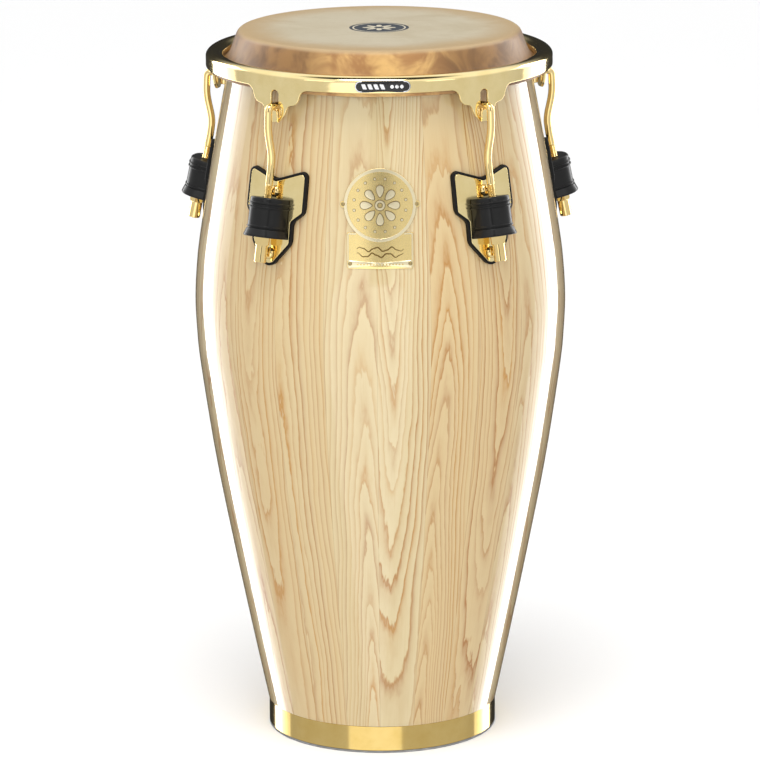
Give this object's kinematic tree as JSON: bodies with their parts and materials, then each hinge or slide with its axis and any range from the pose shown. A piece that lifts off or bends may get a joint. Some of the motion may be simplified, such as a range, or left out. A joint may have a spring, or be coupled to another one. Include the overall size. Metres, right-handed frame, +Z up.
{
  "type": "conga drum",
  "caption": "Tall barrel conga drum: ash stave shell, rawhide head under a gold crown, tuning hooks on rubber-cased side lugs, gold foot band.",
  "frame": {"origin": "middle of the footprint box, on the floor; the drum's own axis stands at x = 0, y = -0.0127 m, because the rear lug reaches further back than the belly reaches forward", "axes": "+Z up along the drum's axis, -Y towards the name badge, +X to the right of someone facing the badge"},
  "size_m": [0.4264, 0.4196, 0.762],
  "materials": {
    "ash_wood": "clear gloss lacquer over pale ash staves with brown cathedral grain",
    "hide": "dry rawhide, matt, pale and faintly mottled on the playing face, browner on the collar",
    "gold_polished": "mirror-polished gold-coloured plating on steel",
    "gold_satin": "satin gold-coloured plating on sheet steel",
    "chrome": "bright chrome with a black outline",
    "bumper_rubber": "black moulded rubber, satin",
    "gasket_rubber": "black rubber sheet, matt",
    "foot_rubber": "black rubber, matt, scuffed where it meets the floor",
    "bare_steel": "zinc-plated steel, dull"
  },
  "bodies": {
    "drum": {"shell": "ash_wood", "foot_rubber": "foot_rubber", "base_band": "gold_polished", "head_skin": "hide", "name_badge": "gold_satin", "badge_nail_1": "bare_steel", "badge_nail_2": "bare_steel", "badge_nail_3": "bare_steel", "badge_nail_4": "bare_steel", "lug_gasket_1": "gasket_rubber", "lug_gasket_2": "gasket_rubber", "lug_gasket_3": "gasket_rubber", "lug_gasket_4": "gasket_rubber", "lug_gasket_5": "gasket_rubber", "side_plate_1": "gold_satin", "side_plate_2": "gold_satin", "side_plate_3": "gold_satin", "side_plate_4": "gold_satin", "side_plate_5": "gold_satin", "lug_bumper_1": "bumper_rubber", "lug_bumper_2": "bumper_rubber", "lug_bumper_3": "bumper_rubber", "lug_bumper_4": "bumper_rubber", "lug_bumper_5": "bumper_rubber", "thrust_washer_1": "bare_steel", "thrust_washer_2": "bare_steel", "thrust_washer_3": "bare_steel", "thrust_washer_4": "bare_steel", "thrust_washer_5": "bare_steel", "plate_bolt_upper_1": "gold_polished", "plate_bolt_upper_2": "gold_polished", "plate_bolt_upper_3": "gold_polished", "plate_bolt_upper_4": "gold_polished", "plate_bolt_upper_5": "gold_polished", "plate_bolt_lower_1": "gold_polished", "plate_bolt_lower_2": "gold_polished", "plate_bolt_lower_3": "gold_polished", "plate_bolt_lower_4": "gold_polished", "plate_bolt_lower_5": "gold_polished", "backing_plate_1": "bare_steel", "backing_plate_2": "bare_steel", "backing_plate_3": "bare_steel", "backing_plate_4": "bare_steel", "backing_plate_5": "bare_steel"},
    "crown": {"crown": "gold_polished", "crown_badge": "chrome", "flesh_hoop": "bare_steel"},
    "hook_1": {"tuning_hook_1": "gold_polished"},
    "hook_2": {"tuning_hook_2": "gold_polished"},
    "hook_3": {"tuning_hook_3": "gold_polished"},
    "hook_4": {"tuning_hook_4": "gold_polished"},
    "hook_5": {"tuning_hook_5": "gold_polished"},
    "nut_1": {"tuning_nut_1": "gold_polished"},
    "nut_2": {"tuning_nut_2": "gold_polished"},
    "nut_3": {"tuning_nut_3": "gold_polished"},
    "nut_4": {"tuning_nut_4": "gold_polished"},
    "nut_5": {"tuning_nut_5": "gold_polished"}
  },
  "joints": [
    {"name": "crown_travel", "type": "slide", "parent": "drum", "child": "crown", "axis": [0, 0, -1], "range_m": [-0.0061, 0.0061], "deforming": ["head_skin"]},
    {"name": "nut_spin_1", "type": "hinge", "parent": "drum", "child": "nut_1", "pos_m": [-0.12061, -0.17871, 0.572], "axis": [0.1242, 0.171, 0.9774], "range_deg": [-1815, 1815]},
    {"name": "nut_spin_2", "type": "hinge", "parent": "drum", "child": "nut_2", "pos_m": [0.12061, -0.17871, 0.572], "axis": [-0.1242, 0.171, 0.9774], "range_deg": [-1815, 1815]},
    {"name": "nut_spin_3", "type": "hinge", "parent": "drum", "child": "nut_3", "pos_m": [-0.19516, 0.05071, 0.572], "axis": [0.201, -0.0653, 0.9774], "range_deg": [-1815, 1815]},
    {"name": "nut_spin_4", "type": "hinge", "parent": "drum", "child": "nut_4", "pos_m": [0.19516, 0.05071, 0.572], "axis": [-0.201, -0.0653, 0.9774], "range_deg": [-1815, 1815]},
    {"name": "nut_spin_5", "type": "hinge", "parent": "drum", "child": "nut_5", "pos_m": [0, 0.1925, 0.572], "axis": [0, -0.2113, 0.9774], "range_deg": [-1815, 1815]},
    {"name": "hook_slide_1", "type": "slide", "parent": "drum", "child": "hook_1", "axis": [-0.1242, -0.171, -0.9774], "range_m": [-0.0063, 0.0063]},
    {"name": "hook_slide_2", "type": "slide", "parent": "drum", "child": "hook_2", "axis": [0.1242, -0.171, -0.9774], "range_m": [-0.0063, 0.0063]},
    {"name": "hook_slide_3", "type": "slide", "parent": "drum", "child": "hook_3", "axis": [-0.201, 0.0653, -0.9774], "range_m": [-0.0063, 0.0063]},
    {"name": "hook_slide_4", "type": "slide", "parent": "drum", "child": "hook_4", "axis": [0.201, 0.0653, -0.9774], "range_m": [-0.0063, 0.0063]},
    {"name": "hook_slide_5", "type": "slide", "parent": "drum", "child": "hook_5", "axis": [0, 0.2113, -0.9774], "range_m": [-0.0063, 0.0063]}
  ],
  "couplings": [
    {"joint": "nut_spin_1", "follows": "crown_travel", "rad_per_m": 5142.7},
    {"joint": "nut_spin_2", "follows": "crown_travel", "rad_per_m": 5142.7},
    {"joint": "nut_spin_3", "follows": "crown_travel", "rad_per_m": 5142.7},
    {"joint": "nut_spin_4", "follows": "crown_travel", "rad_per_m": 5142.7},
    {"joint": "nut_spin_5", "follows": "crown_travel", "rad_per_m": 5142.7},
    {"joint": "hook_slide_1", "follows": "crown_travel", "ratio": 1.0231},
    {"joint": "hook_slide_2", "follows": "crown_travel", "ratio": 1.0231},
    {"joint": "hook_slide_3", "follows": "crown_travel", "ratio": 1.0231},
    {"joint": "hook_slide_4", "follows": "crown_travel", "ratio": 1.0231},
    {"joint": "hook_slide_5", "follows": "crown_travel", "ratio": 1.0231}
  ]
}
